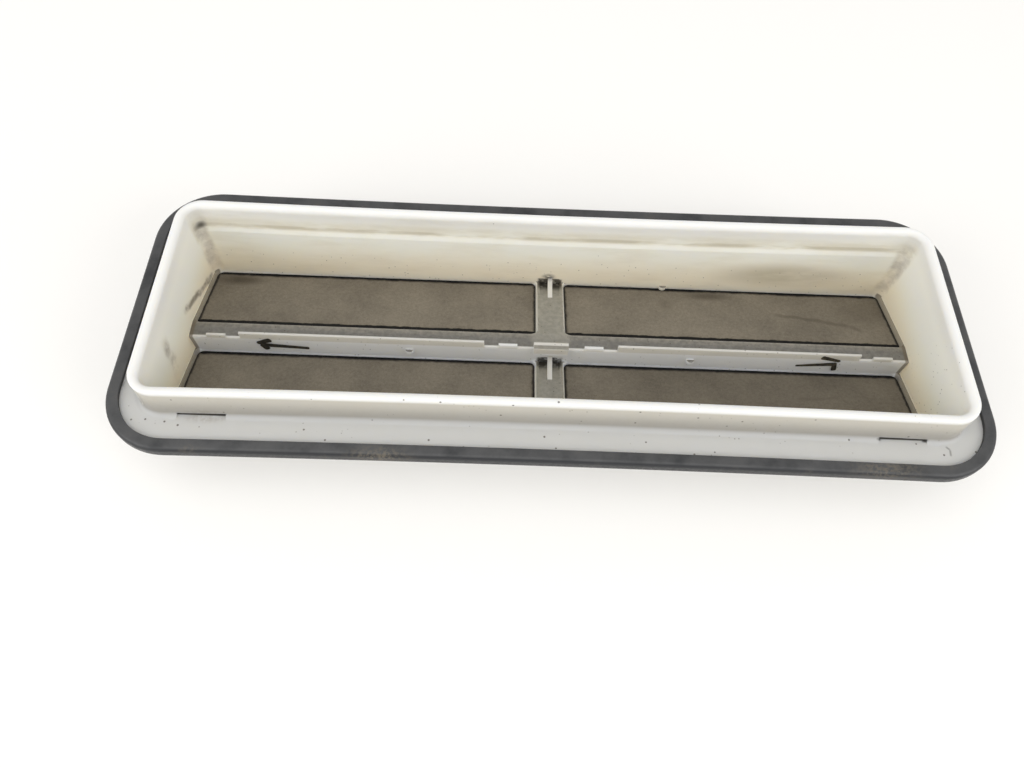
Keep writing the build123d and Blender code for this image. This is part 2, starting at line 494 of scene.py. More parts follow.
    def stroke(
        self, start: Point, end: Point, facing: Point, half: float, soft: float, wobble: Value
    ) -> Socket:
        """Returns a mask of a line on a surface.

        Args:
            start: Where the line starts, in millimetres.
            end: Where it ends.
            facing: The way that the surface faces.
            half: Half the line's width.
            soft: The width over which its edges fade.
            wobble: How far the line strays to its side.

        Returns:
            The mask.
        """
        first, last = Vector(start), Vector(end)
        way = last - first
        aside = self.math("ADD", self.along(first, way.cross(Vector(facing))), wobble)
        run = self.along(first, way)
        ends = self.times(self.rise(run, -soft, soft), self.rise(run, way.length + soft, way.length - soft))
        near = self.rise(self.size(self.along(first, Vector(facing))), *SKIN)
        return self.times(self.band(aside, 0.0, half, soft), ends, near)

    def blend(self, share: Value, under: Colour | Socket, over: Colour | Socket) -> Socket:
        """Returns the colour under, covered with the colour over by share."""
        mixed = self.node("ShaderNodeMix", {0: share, 6: under, 7: over}, data_type="RGBA")
        return mixed.outputs[2]

    def surface(
        self, colour: Socket, roughness: Socket, height: Socket, depth: float, **constants: float | Point
    ) -> None:
        """Ends the material with its shader.

        Args:
            colour: The surface's colour.
            roughness: The surface's roughness.
            height: The relief from 0 to 1.
            depth: The relief's depth in millimetres.
            **constants: Values for the shader's own sockets, with _ for a space.
        """
        bump = self.node("ShaderNodeBump", {"Height": height, "Distance": depth * MM, "Strength": 1.0})
        inputs = {"Base Color": colour, "Roughness": roughness, "Normal": bump.outputs[0]}
        for name, value in constants.items():
            inputs[name.replace("_", " ")] = value
        shader = self.node("ShaderNodeBsdfPrincipled", inputs)
        self.tree.links.new(shader.outputs[0], self.output.inputs["Surface"])


class Finish(ABC):
    """What a piece's surface is made of and how worn it is."""

    @abstractmethod
    def material(self) -> bpy.types.Material:
        """Returns a new material of this finish."""

    def dress(self, piece: bpy.types.Object) -> None:
        """Gives a piece this finish in place of any other."""
        piece.data.materials.clear()
        piece.data.materials.append(self.material())


@dataclass(frozen=True)
class Patch:
    """A soft patch of dirt, with its places and sizes in millimetres."""

    centre: Point
    reach: Point
    soft: float = 0.7
    shows: Ramp = ALWAYS

    def mask(self, bench: NodeBench, pattern: Socket) -> Socket:
        """Returns the patch's mask, broken up by a pattern."""
        return bench.times(bench.spot(self.centre, self.reach, self.soft), bench.rise(pattern, *self.shows))


@dataclass(frozen=True)
class Smear:
    """A soft line of dirt on a surface, with its places and sizes in millimetres."""

    start: Point
    end: Point
    facing: Point
    half: float
    soft: float
    shows: Ramp = ALWAYS

    def mask(self, bench: NodeBench, pattern: Socket, wobble: Value) -> Socket:
        """Returns the line's mask, broken up by a pattern and straying by a wobble."""
        line = bench.stroke(self.start, self.end, self.facing, self.half, self.soft, wobble)
        return bench.times(line, bench.rise(pattern, *self.shows))


@dataclass(frozen=True)
class AgedPlastic(Finish):
    """White moulding that has gathered road dust, with painted light and shade on its collar, flange, duct
    lining and step wall, and with its places in millimetres.
    """

    # Painted light and shade on the plain plastic: the collar's outside is painted darker than the rim and
    # darker still towards its foot, and the flange is painted grey for the shade of the collar.
    rim: Colour = srgb(238, 237, 233)
    outside: Colour = srgb(206, 202, 191)
    outside_foot_shade: Colour = srgb(174, 170, 161)
    flange: Colour = srgb(196, 196, 194)
    # Painted light and shade in the duct: the lining is painted brighter than the collar's outside, and
    # darker and warmer towards the bottom.
    lining: Colour = srgb(252, 249, 239)
    lining_depth_shade: Colour = srgb(240, 232, 213)
    # Painted light: the bar's step wall is painted lighter below its upper band.
    step: Colour = srgb(206, 203, 196)
    step_low_lit: Colour = srgb(230, 231, 231)
    tip: Colour = srgb(232, 231, 227)
    dust: Colour = srgb(110, 107, 100)
    rib: Colour = srgb(134, 131, 121)
    # Yellow-grey for the back wall's haze and stain, and for its bands of painted shade.
    smudge_and_shade: Colour = srgb(176, 166, 134)
    # Near black, for dirt and a scratch, and for painted shade in pockets, holes and slots.
    grime_and_shade: Colour = srgb(52, 47, 38)
    brown: Colour = srgb(118, 96, 66)
    soil: Colour = srgb(112, 101, 82)
    speck: Colour = srgb(70, 60, 46)
    cloud_grain: Grain = (0.05, 4.0, 0.6)
    mottle_grain: Grain = (0.6, 4.0, 0.6)
    streak_grain: Grain = (0.16, 4.0, 0.6)
    streak_stretch: Point = (0.25, 1.0, 1.0)
    blur_grain: Grain = (0.15, 4.0, 0.65)
    relief_grain: Grain = (2.5, 2.0, 0.5)
    relief_shares: Flat = (0.4, 0.6)
    relief_depth: float = 0.04
    gloss_change: Ramp = (0.2, 0.8, 0.25)
    least_rough: float = 0.3
    inner_end: Fade = (123.1, 122.5)
    inner_side: Fade = (34.7, 34.2)
    inner_top: Fade = (11.9, 11.0)
    pit_top: Fade = (-8.6, -9.4)
    pit_end: Fade = (121.75, 121.6)
    rim_fade: Fade = (11.2, 9.8)
    collar_fade: Fade = (10.0, 1.5)
    foot_fade: Fade = (1.6, 0.2)
    lining_fade: Fade = (10.0, 4.0)
    depth_fade: Fade = (0.0, -18.0)
    bar: Band = (-0.6, 3.2, 0.6)
    step_fade: Fade = (-13.2, -14.2)
    level: Fade = (0.6, 0.9)
    upstand_back: Fade = (-0.5, -0.3)
    upstand_front: Fade = (-1.3, -1.6)
    least_dust: float = 0.88
    uneven_dust: Ramp = (0.3, 0.7, 0.1)
    rib_side: Fade = (7.5, 5.5)
    fin_side: Fade = (0.95, 0.85)
    fin_top: Band = (-17.95, 0.2, 0.15)
    rear_fin: Fade = (23.2, 23.6)
    front_fin: Band = (-5.6, 4.4, 0.4)
    tip_length: Band = (14.5, 3.3, 0.1)
    tip_depth: Band = (-0.8, 0.6, 0.1)
    tip_foot: Fade = (-13.5, -13.4)
    back_wall: Fade = (30.2, 31.2)
    wall_haze: Ramp = (0.4, 0.75, 0.14)
    # Bands across the back wall below the rim: painted shade together with dust haze.
    shade_and_haze_bands: tuple[tuple[Band, Ramp], ...] = (
        ((4.4, 1.0, 2.6), (0.25, 0.6, 0.25)),
        ((3.1, 0.4, 1.4), (0.3, 0.6, 0.5)),
    )
    wall_stain: Patch = Patch((82.0, 32.4, -12.0), (34.0, 5.0, 10.0), 0.95, (0.1, 0.6, 0.6))
    corner: Fade = (150.2, 152.4)
    corner_height: Band = (-6.0, 8.0, 8.0)
    corner_soil: Ramp = (0.25, 0.7, 0.42)
    smear_stray: Flat = (0.22, 3.0)
    left_smears: tuple[Smear, ...] = (
        Smear((-121.8, 28.5, -19.3), (-121.8, 4.3, -6.6), (1, 0, 0), 0.3, 1.6, (0.25, 0.6, 0.75)),
        Smear((-121.8, -12.5, 1.0), (-121.8, -15.5, -13.0), (1, 0, 0), 0.6, 2.6, (0.3, 0.7, 0.5)),
    )
    deep_edges: Flat = (-1.2, 32.6)
    deep_edge_fade: float = 0.2
    deep_top: float = -20.65
    seat_fade: Fade = (0.7, 0.3)
    seat_end: Fade = (120.2, 120.7)
    seat_soil: float = 0.75
    # Painted shade: the pockets by the middle rib are painted near black.
    pocket_side: Fade = (4.7, 3.9)
    pocket_top: Fade = (-18.5, -18.9)
    rear_pocket: Fade = (27.0, 30.6)
    front_pocket: Fade = (-5.6, -2.8)
    front_pocket_end: Fade = (0.0, -0.8)
    pocket_shade: Ramp = (0.25, 0.5, 0.95)
    # Dirt in the rear-left corner of the ledge, and painted shade in the hole at the foot of the back wall by
    # the middle rib.
    grime_and_shade_patches: tuple[Patch, ...] = (
        Patch((-120.0, 33.2, 3.4), (2.8, 3.0, 2.4), 0.9, (-1.0, -0.5, 0.85)),
        Patch((-0.6, 32.4, -17.8), (3.4, 2.5, 3.0), 0.95, (0.3, 0.55, 0.9)),
    )
    grime_and_shade_cover: float = 0.92
    slot_stain: Patch = Patch((-104.0, -37.6, 1.0), (9.0, 2.6, 3.0), 0.7, (0.35, 0.6, 0.25))
    # Painted shade in the slots at the collar's foot and in the holes at their ends.
    slot_length: Band = (105.0, 7.4, 0.3)
    slot_depth: Band = (36.2, 0.5, 0.3)
    slot_height: Band = (0.2, 0.8, 0.3)
    slot_ends: tuple[Patch, ...] = (
        Patch((97.8, -36.8, 0.2), (1.3, 0.9, 1.2), 0.8),
        Patch((111.7, -36.9, 0.2), (1.3, 0.9, 1.2), 0.8),
        Patch((-98.6, -36.3, 0.2), (1.3, 0.9, 1.2), 0.8),
    )
    slot_cover: float = 0.9
    scratch: tuple[Smear, ...] = (
        Smear((117.9, -38.7, 0.0), (118.9, -39.6, 0.0), (0, 0, 1), 0.12, 0.35),
        Smear((118.9, -39.6, 0.0), (118.7, -41.6, 0.0), (0, 0, 1), 0.12, 0.35),
    )
    scratch_cover: float = 0.45
    front_side: Fade = (-30.0, -34.0)
    front_specks: Dots = (3.4, 0.13, 0.34)
    front_dust: Dots = (1.5, 0.15, 0.24)
    front_dust_clouds: Fade = (0.45, 0.6)
    inner_specks: Dots = (5.2, 0.06, 0.12)
    inner_speck_cover: float = 0.6
    right_wall: Fade = (120.8, 121.4)
    right_wall_front: Fade = (12.0, -20.0)
    right_specks: Dots = (1.9, 0.13, 0.3)
    right_speck_clouds: Ramp = (0.3, 0.5, 0.8)
    pit_specks: Dots = (1.1, 0.22, 0.16)
    pit_speck_mottle: Fade = (0.35, 0.5)
    speck_cover: float = 0.8

    def material(self) -> bpy.types.Material:
        """Wires the finish's nodes.

        Returns:
            A new material of this finish.
        """
        bench = NodeBench("aged_white_plastic")
        clouds = bench.noise(*self.cloud_grain)
        mottle = bench.noise(*self.mottle_grain)
        inside = bench.times(
            bench.rise(bench.size(bench.x), *self.inner_end),
            bench.rise(bench.size(bench.y), *self.inner_side),
            bench.rise(bench.z, *self.inner_top),
        )
        pit = bench.times(
            inside, bench.rise(bench.z, *self.pit_top), bench.rise(bench.size(bench.x), *self.pit_end)
        )
        colour = self.lit_and_shaded_colour(bench, inside, pit, mottle)
        colour = self.haze_and_shade_colour(bench, colour, inside, pit)
        colour = self.dirt_and_shade_colour(bench, colour, inside, pit, mottle)
        colour = self.specked_colour(bench, colour, inside, pit, clouds, mottle)
        roughness = bench.math("ADD", bench.rise(mottle, *self.gloss_change), self.least_rough)
        fine_share, cloud_share = self.relief_shares
        fine = bench.times(bench.noise(*self.relief_grain), fine_share)
        bench.surface(
            colour,
            roughness,
            bench.math("ADD", fine, bench.times(clouds, cloud_share)),
            self.relief_depth,
            Specular_IOR_Level=0.4,
            Subsurface_Weight=0.75,
            Subsurface_Radius=(1.0, 0.94, 0.8),
            Subsurface_Scale=4.0 * MM,
        )
        return bench.material

    def lit_and_shaded_colour(self, bench: NodeBench, inside: Socket, pit: Socket, mottle: Socket) -> Socket:
        """Lays the plastic's tones from the rim down to the dusty grid, with painted light and shade: a
        collar that darkens towards its foot, a grey flange, a bright lining that darkens with depth and a
        step wall in two tones.

        Args:
            bench: Where the nodes go.
            inside: Mask of the duct's inner side.
            pit: Mask of the grid deep in the duct.
            mottle: Fine pattern.

        Returns:
            The colour.
        """
        # Painted shade: the collar's outside darker than the rim and darker towards its foot, and the flange
        # grey.
        colour = bench.blend(bench.rise(bench.z, *self.rim_fade), self.rim, self.outside)
        colour = bench.blend(bench.rise(bench.z, *self.collar_fade), colour, self.outside_foot_shade)
        colour = bench.blend(bench.rise(bench.z, *self.foot_fade), colour, self.flange)
        # Painted light and shade: the lining brighter than the outside, and darker and warmer deeper down.
        lining = bench.blend(bench.rise(bench.z, *self.lining_fade), self.rim, self.lining)
        lining = bench.blend(bench.rise(bench.z, *self.depth_fade), lining, self.lining_depth_shade)
        colour = bench.blend(inside, colour, lining)
        # Painted light: the step wall lighter below its upper band.
        wall = bench.blend(bench.rise(bench.z, *self.step_fade), self.step, self.step_low_lit)
        colour = bench.blend(bench.times(pit, bench.band(bench.y, *self.bar)), colour, wall)
        cover = bench.times(
            pit,
            bench.rise(bench.facing_z, *self.level),
            bench.most(bench.rise(bench.y, *self.upstand_back), bench.rise(bench.y, *self.upstand_front)),
            bench.math("ADD", bench.rise(mottle, *self.uneven_dust), self.least_dust),
        )
        middle = bench.rise(bench.size(bench.x), *self.rib_side)
        colour = bench.blend(cover, colour, bench.blend(middle, self.dust, self.rib))
        fins = bench.times(
            pit,
            bench.rise(bench.size(bench.x), *self.fin_side),
            bench.band(bench.z, *self.fin_top),
            bench.most(bench.rise(bench.y, *self.rear_fin), bench.band(bench.y, *self.front_fin)),
        )
        tips = bench.times(
            pit,
            bench.band(bench.size(bench.x), *self.tip_length),
            bench.band(bench.y, *self.tip_depth),
            bench.rise(bench.z, *self.tip_foot),
        )
        return bench.blend(tips, bench.blend(fins, colour, self.step), self.tip)

    def haze_and_shade_colour(self, bench: NodeBench, colour: Socket, inside: Socket, pit: Socket) -> Socket:
        """Lays the walls' haze, bands of painted shade and haze across the back wall, and the soil in their
        corners over the plastic's tones.

        Args:
            bench: Where the nodes go.
            colour: The plastic's tones, with their painted light and shade.
            inside: Mask of the duct's inner side.
            pit: Mask of the grid deep in the duct.

        Returns:
            The colour.
        """
        streaks = bench.noise(*self.streak_grain, bench.stretched(self.streak_stretch))
        blur = bench.noise(*self.blur_grain)
        wobble = bench.stray(*self.smear_stray)
        back = bench.times(inside, bench.rise(bench.y, *self.back_wall))
        haze = [bench.times(back, bench.rise(streaks, *self.wall_haze)), self.wall_stain.mask(bench, streaks)]
        # Bands across the back wall: painted shade together with dust haze.
        for height, shows in self.shade_and_haze_bands:
            haze.append(bench.times(back, bench.band(bench.z, *height), bench.rise(streaks, *shows)))
        colour = bench.blend(bench.most(*haze), colour, self.smudge_and_shade)
        corner = bench.times(
            inside,
            bench.rise(bench.math("ADD", bench.size(bench.x), bench.y), *self.corner),
            bench.band(bench.z, *self.corner_height),
            bench.rise(blur, *self.corner_soil),
        )
        seat_ends = bench.times(
            pit,
            bench.rise(bench.size(bench.x), *self.seat_end),
            self.below_seats(bench),
            self.seat_soil,
        )
        smears = [smear.mask(bench, blur, wobble) for smear in self.left_smears]
        return bench.blend(bench.most(corner, *smears, seat_ends), colour, self.soil)

    def below_seats(self, bench: NodeBench) -> Socket:
        """Masks what lies no higher than the sloping seats' tops.

        Args:
            bench: Where the nodes go.

        Returns:
            The mask.
        """
        rows = []
        for deep_edge in self.deep_edges:
            height = bench.along(Vector((0.0, deep_edge, self.deep_top)), Vector(FLAP_FACING))
            before = bench.rise(bench.y, deep_edge + self.deep_edge_fade, deep_edge)
            rows.append(bench.times(bench.rise(height, *self.seat_fade), before))
        return bench.most(*rows)

    def dirt_and_shade_colour(
        self, bench: NodeBench, colour: Socket, inside: Socket, pit: Socket, mottle: Socket
    ) -> Socket:
        """Fills the pockets, the hole by the middle rib and the collar's slots with painted shade, and adds
        dirt in the ledge's corner, a brown stain and a scratch.

        Args:
            bench: Where the nodes go.
            colour: The hazy plastic.
            inside: Mask of the duct's inner side.
            pit: Mask of the grid deep in the duct.
            mottle: Fine pattern.

        Returns:
            The colour.
        """
        # Painted shade: the pockets and the hole by the middle rib are painted near black.
        front_pocket = bench.times(
            bench.rise(bench.y, *self.front_pocket), bench.rise(bench.y, *self.front_pocket_end)
        )
        pockets = bench.times(
            pit,
            bench.rise(bench.size(bench.x), *self.pocket_side),
            bench.rise(bench.z, *self.pocket_top),
            bench.most(bench.rise(bench.y, *self.rear_pocket), front_pocket),
            bench.rise(mottle, *self.pocket_shade),
        )
        creases = bench.most(*[patch.mask(bench, mottle) for patch in self.grime_and_shade_patches], pockets)
        colour = bench.blend(bench.times(creases, self.grime_and_shade_cover), colour, self.grime_and_shade)
        outside = bench.rest(inside)
        colour = bench.blend(bench.times(outside, self.slot_stain.mask(bench, mottle)), colour, self.brown)
        # Painted shade in the collar's slots and in the holes at their ends.
        slots = bench.times(
            bench.band(bench.size(bench.x), *self.slot_length),
            bench.band(bench.size(bench.y), *self.slot_depth),
            bench.band(bench.z, *self.slot_height),
        )
        recesses = bench.most(slots, *[patch.mask(bench, mottle) for patch in self.slot_ends])
        colour = bench.blend(bench.times(outside, recesses, self.slot_cover), colour, self.grime_and_shade)
        scratch = bench.most(*[smear.mask(bench, mottle, 0.0) for smear in self.scratch])
        return bench.blend(bench.times(outside, scratch, self.scratch_cover), colour, self.grime_and_shade)

    def specked_colour(
        self, bench: NodeBench, colour: Socket, inside: Socket, pit: Socket, clouds: Socket, mottle: Socket
    ) -> Socket:
        """Scatters specks of road dirt over the dirty plastic.

        Args:
            bench: Where the nodes go.
            colour: The dirty plastic.
            inside: Mask of the duct's inner side.
            pit: Mask of the grid deep in the duct.
            clouds: Large soft pattern.
            mottle: Fine pattern.

        Returns:
            The colour.
        """
        front = bench.times(bench.rest(inside), bench.rise(bench.y, *self.front_side))
        front_dust = bench.times(bench.rise(clouds, *self.front_dust_clouds), bench.specks(*self.front_dust))
        right = bench.times(
            inside,
            bench.rise(bench.x, *self.right_wall),
            bench.rise(bench.y, *self.right_wall_front),
            bench.rise(clouds, *self.right_speck_clouds),
        )
        specks = bench.most(
            bench.times(front, bench.specks(*self.front_specks)),
            bench.times(front, front_dust),
            bench.times(inside, bench.specks(*self.inner_specks), self.inner_speck_cover),
            bench.times(right, bench.specks(*self.right_specks)),
            bench.times(pit, bench.specks(*self.pit_specks), bench.rise(mottle, *self.pit_speck_mottle)),
        )
        return bench.blend(bench.times(specks, self.speck_cover), colour, self.speck)


@dataclass(frozen=True)
class DustyRubber(Finish):
    """Thin dark rubber under a skin of grey-brown dust, dark where the window's edges shade it."""

    rubber: Colour = srgb(92, 86, 76)
    dust: Colour = srgb(136, 128, 113)
    edge: Colour = srgb(24, 23, 22)
    stain: Colour = srgb(66, 59, 48)
    patch_grain: Grain = (0.05, 4.0, 0.6)
    mottle_grain: Grain = (0.9, 4.0, 0.7)
    fine_grain: Grain = (3.2, 3.0, 0.7)
    patch_dust: Ramp = (0.25, 0.7, 0.4)
    mottle_dust: Ramp = (0.25, 0.75, 0.35)
    fine_dust: Ramp = (0.3, 0.7, 0.35)
    relief_depth: float = 0.06
    gloss_change: Ramp = (0.2, 0.8, 0.15)
    least_rough: float = 0.8
    line_stray: Flat = (0.15, 2.5)
    dried_lines: tuple[Smear, ...] = (
        Smear((81.3, 20.4, -19.3), (106.4, 16.0, -18.2), FLAP_FACING, 0.2, 1.3, (0.2, 0.6, 0.6)),
        Smear((106.4, 16.0, -18.2), (110.1, 13.2, -17.5), FLAP_FACING, 0.2, 1.3, (0.2, 0.6, 0.6)),
        Smear((83.3, -13.6, -19.3), (98.8, -12.7, -19.5), FLAP_FACING, 0.2, 1.3, (0.2, 0.6, 0.6)),
        Smear((98.8, -12.7, -19.5), (101.4, -15.4, -18.8), FLAP_FACING, 0.2, 1.3, (0.2, 0.6, 0.6)),
    )
    dark_patches: tuple[Patch, ...] = (
        Patch((113.0, 23.0, -20.0), (16.0, 12.0, 6.0), 0.95, (-1.0, -0.5, 0.45)),
        Patch((-112.0, 28.6, -21.5), (13.0, 4.0, 4.0), 0.9, (0.2, 0.5, 1.0)),
        Patch((58.0, 29.0, -21.5), (12.0, 3.0, 4.0), 0.9, (0.25, 0.5, 0.8)),
        Patch((42.0, 24.0, -20.0), (4.0, 5.0, 4.0), 0.9, (0.3, 0.6, 0.6)),
    )
    right_half: Fade = (8.0, 40.0)
    front_row: Ramp = (2.0, -2.0, 0.3)
    stain_cover: float = 0.7
    inner_edge: float = 5.1
    outer_edge: float = 121.0
    rear_window: Flat = (4.8, 32.2)
    front_window: Flat = (-29.0, -1.6)
    shade_stray: Flat = (0.4, 1.0)
    inner_shade: Ramp = (1.3, 0.3, 0.9)
    outer_shade: Ramp = (-0.9, -0.3, 0.8)
    low_shade: Band = (1.8, 0.6, 0.5)
    high_shade: Band = (0.2, 0.7, 1.2)

    def material(self) -> bpy.types.Material:
        """Wires the finish's nodes.

        Returns:
            A new material of this finish.
        """
        bench = NodeBench("dusty_flap_rubber")
        patches = bench.noise(*self.patch_grain)
        mottle = bench.noise(*self.mottle_grain)
        grain = bench.noise(*self.fine_grain)
        fine_cover = bench.math(
            "ADD", bench.rise(mottle, *self.mottle_dust), bench.rise(grain, *self.fine_dust)
        )
        cover = bench.math("ADD", bench.rise(patches, *self.patch_dust), fine_cover)
        colour = bench.blend(cover, self.rubber, self.dust)
        wobble = bench.stray(*self.line_stray)
        stains = bench.most(
            *[line.mask(bench, mottle, wobble) for line in self.dried_lines],
            bench.times(bench.rise(bench.x, *self.right_half), bench.rise(bench.y, *self.front_row)),
            *[patch.mask(bench, mottle) for patch in self.dark_patches],
        )
        colour = bench.blend(bench.times(stains, self.stain_cover), colour, self.stain)
        colour = bench.blend(self.shaded(bench), colour, self.edge)
        roughness = bench.math("ADD", bench.rise(patches, *self.gloss_change), self.least_rough)
        bench.surface(colour, roughness, grain, self.relief_depth, Specular_IOR_Level=0.2)
        return bench.material

    def shaded(self, bench: NodeBench) -> Socket:
        """Masks the dark line along the windows' edges.

        Args:
            bench: Where the nodes go.

        Returns:
            The mask.
        """
        wobble = bench.stray(*self.shade_stray)
        length = bench.math("ADD", bench.size(bench.x), wobble)
        width = bench.math("ADD", bench.y, wobble)
        lines = []
        ends = ((self.inner_edge, self.inner_shade), (self.outer_edge, self.outer_shade))
        for edge, (low, high, top) in ends:
            lines.append(bench.rise(length, edge + low, edge + high, top))
        for window in (self.rear_window, self.front_window):
            for edge, (away, half, soft) in zip(window, (self.low_shade, self.high_shade)):
                lines.append(bench.band(width, edge + away, half, soft))
        return bench.most(*lines)


@dataclass(frozen=True)
class SealRubber(Finish):
    """Dark edge rubber, paler on its top lip and smeared with road dirt."""

    rubber: Colour = srgb(44, 45, 47)
    lip: Colour = srgb(80, 80, 80)
    smear: Colour = srgb(112, 104, 90)
    patch_grain: Grain = (0.1, 4.0, 0.6)
    relief_grain: Grain = (2.2, 3.0, 0.6)
    fine_grain: Grain = (0.9, 4.0, 0.7)
    relief_depth: float = 0.03
    gloss_change: Ramp = (0.3, 0.7, 0.2)
    least_rough: float = 0.33
    # The seal is paler on its top lip, broken up by a pattern.
    lip_height: Fade = (0.9, 1.3)
    lip_pattern: Ramp = (0.2, 0.6, 0.8)
    smears: tuple[Patch, ...] = (
        Patch((-51.0, -48.0, 0.0), (14.0, 4.0, 4.0), 0.9),
        Patch((98.0, -47.0, 0.0), (16.0, 4.0, 4.0), 0.9),
    )
    wide_smears: Ramp = (0.55, 0.7, 0.35)
    smear_cover: Ramp = (0.4, 0.62, 0.75)

    def material(self) -> bpy.types.Material:
        """Wires the finish's nodes.

        Returns:
            A new material of this finish.
        """
        bench = NodeBench("dark_seal_rubber")
        patches = bench.noise(*self.patch_grain)
        fine = bench.noise(*self.fine_grain)
        pale_top = bench.times(bench.rise(bench.z, *self.lip_height), bench.rise(patches, *self.lip_pattern))
        colour = bench.blend(pale_top, self.rubber, self.lip)
        smears = bench.most(
            *[patch.mask(bench, fine) for patch in self.smears], bench.rise(patches, *self.wide_smears)
        )
        colour = bench.blend(bench.times(smears, bench.rise(fine, *self.smear_cover)), colour, self.smear)
        roughness = bench.math("ADD", bench.rise(fine, *self.gloss_change), self.least_rough)
        relief = bench.noise(*self.relief_grain)
        bench.surface(colour, roughness, relief, self.relief_depth, Specular_IOR_Level=0.45)
        return bench.material


@dataclass(frozen=True)
class MarkGrime(Finish):
    """Grime that fills a mark on the moulding."""

    dark: Colour = srgb(38, 36, 33)
    worn: Colour = srgb(92, 86, 70)
    cover: float = 0.4
    grain: Grain = (0.9, 4.0, 0.7)
    wear: Fade = (0.4, 0.65)
    relief_depth: float = 0.05
    gloss_change: Ramp = (0.3, 0.7, 0.2)
    least_rough: float = 0.6

    def material(self) -> bpy.types.Material:
        """Wires the finish's nodes.

        Returns:
            A new material of this finish.
        """
        bench = NodeBench("mark_grime")
        patches = bench.noise(*self.grain)
        colour = bench.blend(bench.rise(patches, *self.wear, self.cover), self.dark, self.worn)
        roughness = bench.math("ADD", bench.rise(patches, *self.gloss_change), self.least_rough)
        bench.surface(colour, roughness, patches, self.relief_depth, Specular_IOR_Level=0.3)
        return bench.material


@dataclass(frozen=True)
class TableTop(Finish):
    """Plain pale table that keeps the shadow and shows white to the camera."""

    colour: Colour = srgb(240, 238, 234)
    glow: float = 0.12

    def material(self) -> bpy.types.Material:
        """Wires the finish's nodes.

        Returns:
            A new material of this finish.
        """
        bench = NodeBench("pale_table")
        light_path = bench.tree.nodes.new("ShaderNodeLightPath")
        seen = bench.most(
            light_path.outputs["Is Camera Ray"],
            light_path.outputs["Is Glossy Ray"],
            light_path.outputs["Is Transmission Ray"],
        )
        plain = bench.node("ShaderNodeBsdfDiffuse", {"Color": self.colour})
        bright = bench.node("ShaderNodeEmission", {"Strength": bench.times(seen, self.glow)})
        added = bench.node("ShaderNodeAddShader", {0: plain.outputs[0], 1: bright.outputs[0]})
        bench.tree.links.new(added.outputs[0], bench.output.inputs["Surface"])
        return bench.material


@dataclass
class GrilleFrame:
    """The moulding that carries everything else."""

    finish: Finish = AgedPlastic()

    def build(self) -> list[bpy.types.Object]:
        """Dresses the moulding.

        Returns:
            The moulding alone.
        """
        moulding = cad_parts["grille_frame"]
        self.finish.dress(moulding)
        return [moulding]


@dataclass
class ArrowMark:
    """An arrow on the step wall's front face, in millimetres.

    It is made of three short strokes, each with its ends as x and z, and its widths there.
    """

    name: str
    strokes: tuple[tuple[Flat, Flat, float, float], ...]
    finish: Finish = MarkGrime()
    wall_y: float = -1.2
    proud: float = 0.2
    sunk: float = 0.1
    round_share: float = 0.45
    round_segments: int = 4
    smooth_angle: float = 30.0

    def build(self) -> list[bpy.types.Object]:
        """Builds the arrow and dresses it.

        Returns:
            The arrow alone.
        """
        arrow = None
        for start, end, first_width, last_width in self.strokes:
            stroke = self.stroke(start, end, first_width, last_width)
            if arrow is None:
                arrow = stroke
            else:
                arrow.absorb(stroke)
        piece = arrow.close(self.smooth_angle)
        self.finish.dress(piece)
        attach(piece, Body.FRAME.value)
        return [piece]

    def stroke(self, start: Flat, end: Flat, first_width: float, last_width: float) -> Shaper:
        """Models one stroke on the wall.

        Args:
            start: The stroke's start as x and z.
            end: The stroke's end as x and z.
            first_width: The stroke's width at its start.
            last_width: The stroke's width at its end.

        Returns:
            The stroke's shaper.
        """
        run, climb = end[0] - start[0], end[1] - start[1]
        length = math.hypot(run, climb)
        shaper = Shaper(self.name, length, first_width, (length / 2, 0.0, 0.0))
        shaper.pick(Part.VERTEX, lambda point: point.x > length / 2)
        bpy.ops.transform.resize(value=(1.0, last_width / first_width, 1.0), center_override=ORIGIN)
        bpy.ops.object.mode_set(mode="OBJECT")
        radius = min(first_width, last_width) * self.round_share
        shaper.round_corners(radius, self.round_segments, lambda point: True)
        shaper.modify("SOLIDIFY", thickness=(self.proud + self.sunk) * MM, offset=-1.0)
        shaper.turn(math.degrees(math.atan2(climb, run)), "Z")
        shaper.turn(90.0, "X")
        shaper.pick_all()
        shaper.shift((start[0], self.wall_y - self.proud, start[1]))
        bpy.ops.object.mode_set(mode="OBJECT")
        return shaper


